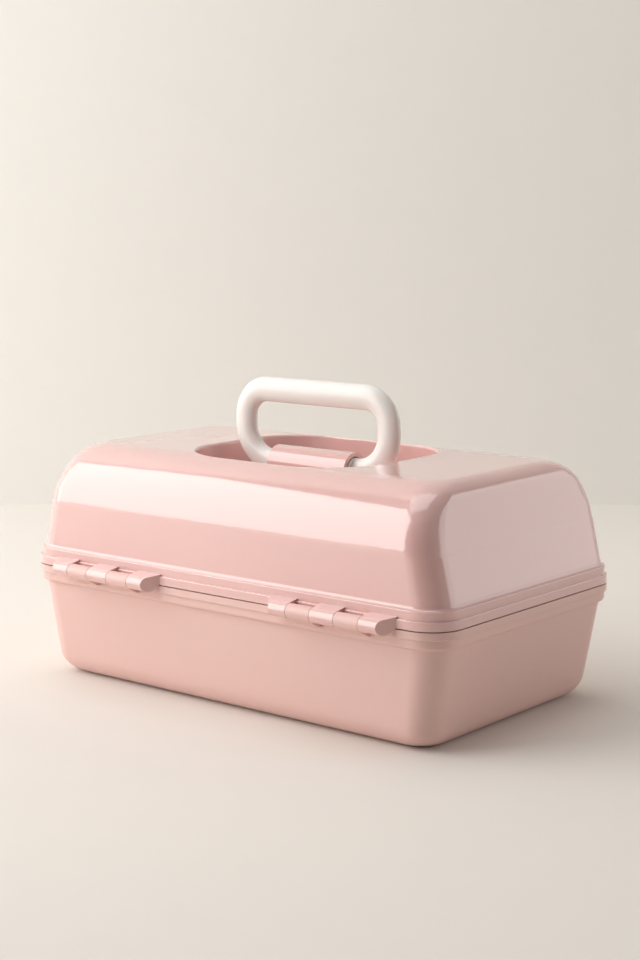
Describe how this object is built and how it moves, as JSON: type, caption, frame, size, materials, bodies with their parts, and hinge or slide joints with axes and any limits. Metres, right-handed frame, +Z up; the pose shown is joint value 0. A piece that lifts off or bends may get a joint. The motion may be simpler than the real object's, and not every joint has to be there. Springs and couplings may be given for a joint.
{
  "type": "makeup storage case",
  "caption": "Hinged carry case for cosmetics with a fold-down loop handle, a front snap latch, a lid mirror and level-lifting cantilever trays.",
  "frame": {"origin": "middle of the flat underside that the closed case rests on, level with the middle of the rim", "axes": "+Z up; X along the long side; -Y towards the latch, +Y towards the hinges. The picture looks from behind at the hinge side and one short end."},
  "size_m": [0.33, 0.2162, 0.1941],
  "materials": {
    "lid_plastic": "high gloss",
    "base_plastic": "satin",
    "handle_plastic": "gloss",
    "tray_plastic": "satin",
    "steel": "satin",
    "mirror_glass": "polished",
    "foam": "matte foam"
  },
  "bodies": {
    "base": {"base_shell": "base_plastic", "hinge_pin_left": "steel", "hinge_pin_right": "steel", "base_arm_pins": "steel", "base_arm_washers": "steel"},
    "lid": {"lid_shell": "lid_plastic", "handle_saddle": "lid_plastic", "saddle_screws": "steel", "mirror_frame": "tray_plastic", "mirror_glass": "mirror_glass", "mirror_tape": "foam", "mirror_screws": "steel", "lid_arm_left": "steel", "lid_arm_right": "steel", "lid_arm_screws": "steel", "latch_pin": "steel"},
    "handle": {"handle": "handle_plastic"},
    "latch": {"latch": "lid_plastic"},
    "base_arm_left": {"base_arm_left": "steel"},
    "base_arm_right": {"base_arm_right": "steel"},
    "upper_tray": {"upper_tray": "tray_plastic", "upper_tray_pins": "steel"},
    "lower_tray": {"lower_tray": "tray_plastic", "lower_tray_pins": "steel"}
  },
  "joints": [
    {"name": "lid_hinge", "type": "hinge", "parent": "base", "child": "lid", "pos_m": [0, 0.1025, 0.0735], "axis": [-1, 0, 0], "range_deg": [0, 105]},
    {"name": "handle_fold", "type": "hinge", "parent": "lid", "child": "handle", "pos_m": [0, 0, 0.1395], "axis": [1, 0, 0], "range_deg": [-88, 88]},
    {"name": "latch_swing", "type": "hinge", "parent": "lid", "child": "latch", "pos_m": [0, -0.102, 0.0805], "axis": [-1, 0, 0], "range_deg": [0, 120]},
    {"name": "base_arm_left_pivot", "type": "hinge", "parent": "base", "child": "base_arm_left", "pos_m": [-0.15025, 0.02, 0.064], "axis": [-1, 0, 0], "range_deg": [0, 105]},
    {"name": "base_arm_right_pivot", "type": "hinge", "parent": "base", "child": "base_arm_right", "pos_m": [0.15025, 0.02, 0.064], "axis": [-1, 0, 0], "range_deg": [0, 105]},
    {"name": "upper_tray_pivot", "type": "hinge", "parent": "lid", "child": "upper_tray", "pos_m": [0, 0.0325, 0.0735], "axis": [-1, 0, 0], "range_deg": [-105, 0]},
    {"name": "lower_tray_pivot", "type": "hinge", "parent": "lid", "child": "lower_tray", "pos_m": [0, 0.0675, 0.0735], "axis": [-1, 0, 0], "range_deg": [-105, 0]}
  ],
  "couplings": [
    {"joint": "base_arm_left_pivot", "follows": "lid_hinge", "ratio": 1},
    {"joint": "base_arm_right_pivot", "follows": "lid_hinge", "ratio": 1},
    {"joint": "upper_tray_pivot", "follows": "lid_hinge", "ratio": -1},
    {"joint": "lower_tray_pivot", "follows": "lid_hinge", "ratio": -1}
  ]
}
